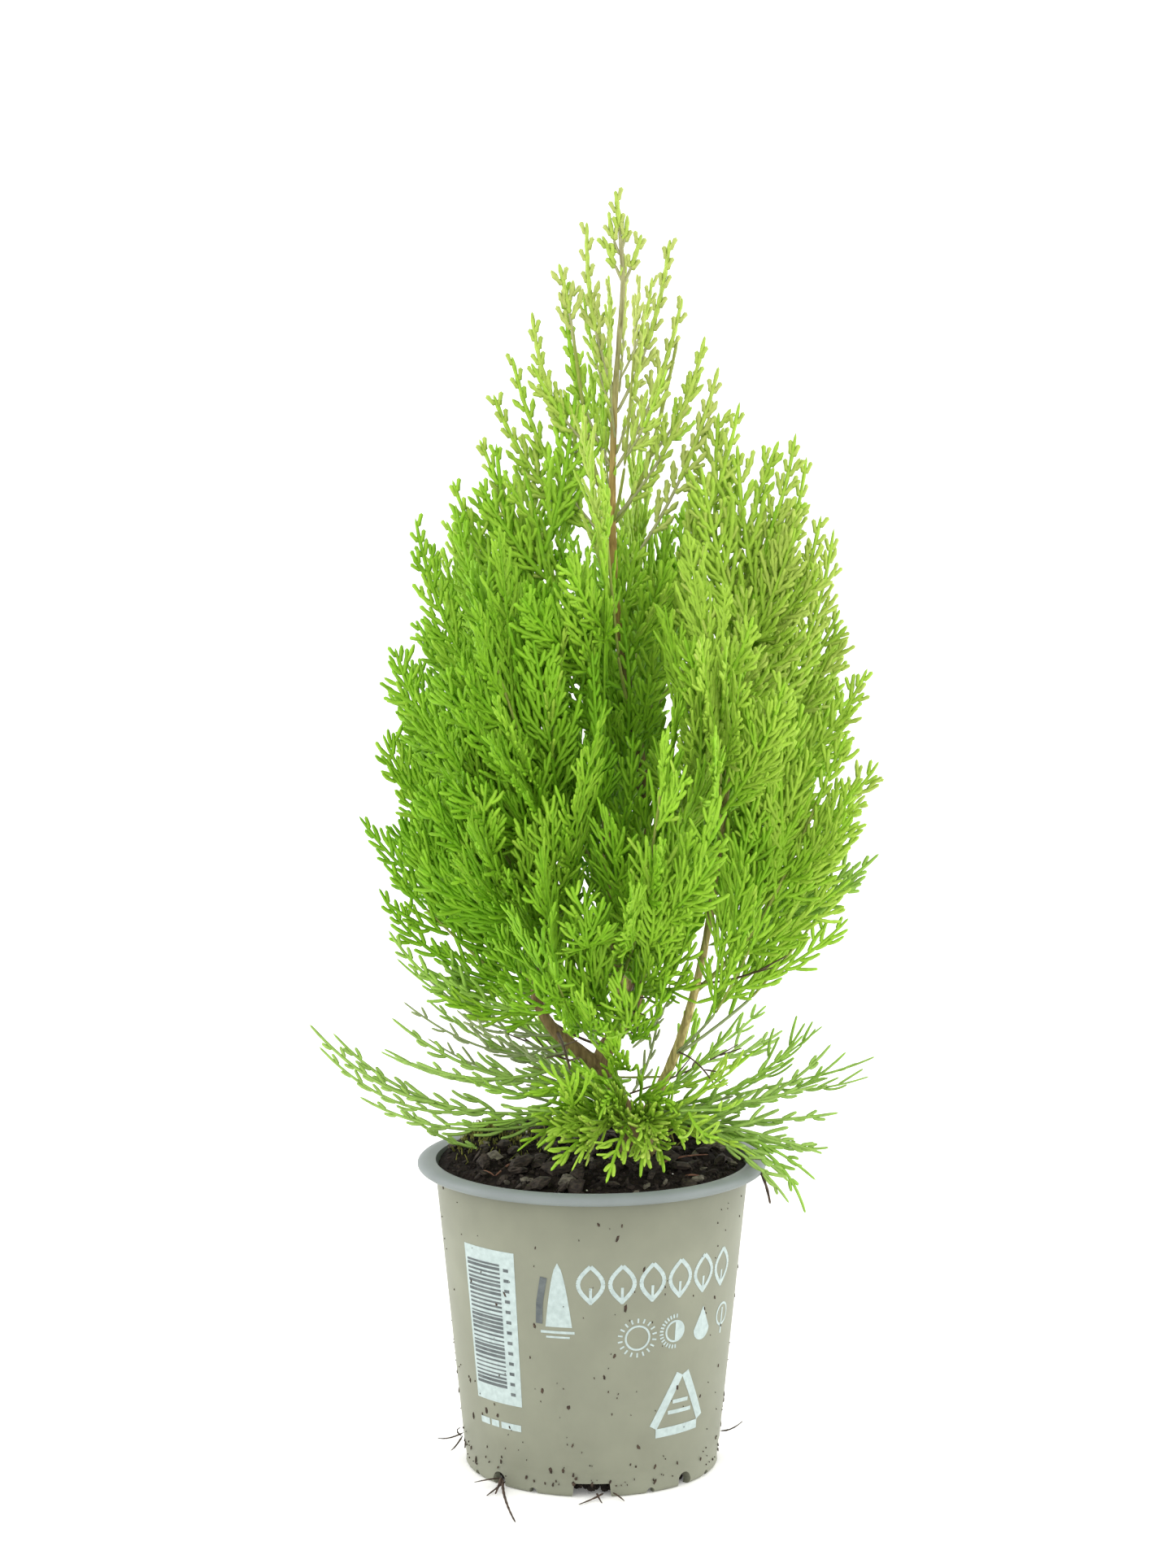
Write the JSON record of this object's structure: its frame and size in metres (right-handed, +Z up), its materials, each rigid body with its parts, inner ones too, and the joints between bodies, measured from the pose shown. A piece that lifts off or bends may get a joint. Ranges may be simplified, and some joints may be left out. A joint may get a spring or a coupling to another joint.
{
  "type": "potted golden oriental arborvitae",
  "caption": "Young golden oriental arborvitae, its flat upright sprays in a dense oval crown, growing in a round tapered plastic nursery pot with a rolled rim.",
  "frame": {"origin": "on the ground at the centre of the pot's underside, on the pot's axis", "axes": "+Z up; -Y is the side that faces the viewer of the picture, and -X its left"},
  "size_m": [0.17, 0.1565, 0.3812],
  "materials": {
    "pot_plastic": "satin",
    "soil": "matte",
    "bark": "matte",
    "foliage": "matte"
  },
  "bodies": {
    "root": {"back_stem": "bark", "crest_back": "foliage", "crest_front": "foliage", "crest_left": "foliage", "crest_right": "foliage", "front_stem": "bark", "leader_tip": "foliage", "left_stem_high": "bark", "left_stem_low": "bark", "low_back": "foliage", "low_back_left": "foliage", "low_front": "foliage", "low_front_right": "foliage", "low_left": "foliage", "low_right": "foliage", "lower_back": "foliage", "lower_back_right": "foliage", "lower_front": "foliage", "lower_front_left": "foliage", "lower_left": "foliage", "lower_right": "foliage", "middle_back": "foliage", "middle_back_left": "foliage", "middle_front_left": "foliage", "middle_front_right": "foliage", "middle_right": "foliage", "pot": "pot_plastic", "right_stem": "bark", "skirt_back_left": "foliage", "skirt_back_right": "foliage", "skirt_front_left": "foliage", "skirt_front_right": "foliage", "skirt_left": "foliage", "skirt_right": "foliage", "soil": "soil", "top_back": "foliage", "top_front": "foliage", "top_left": "foliage", "top_right": "foliage", "trunk": "bark", "upper_back": "foliage", "upper_front": "foliage", "upper_left": "foliage", "upper_right": "foliage"}
  },
  "joints": []
}
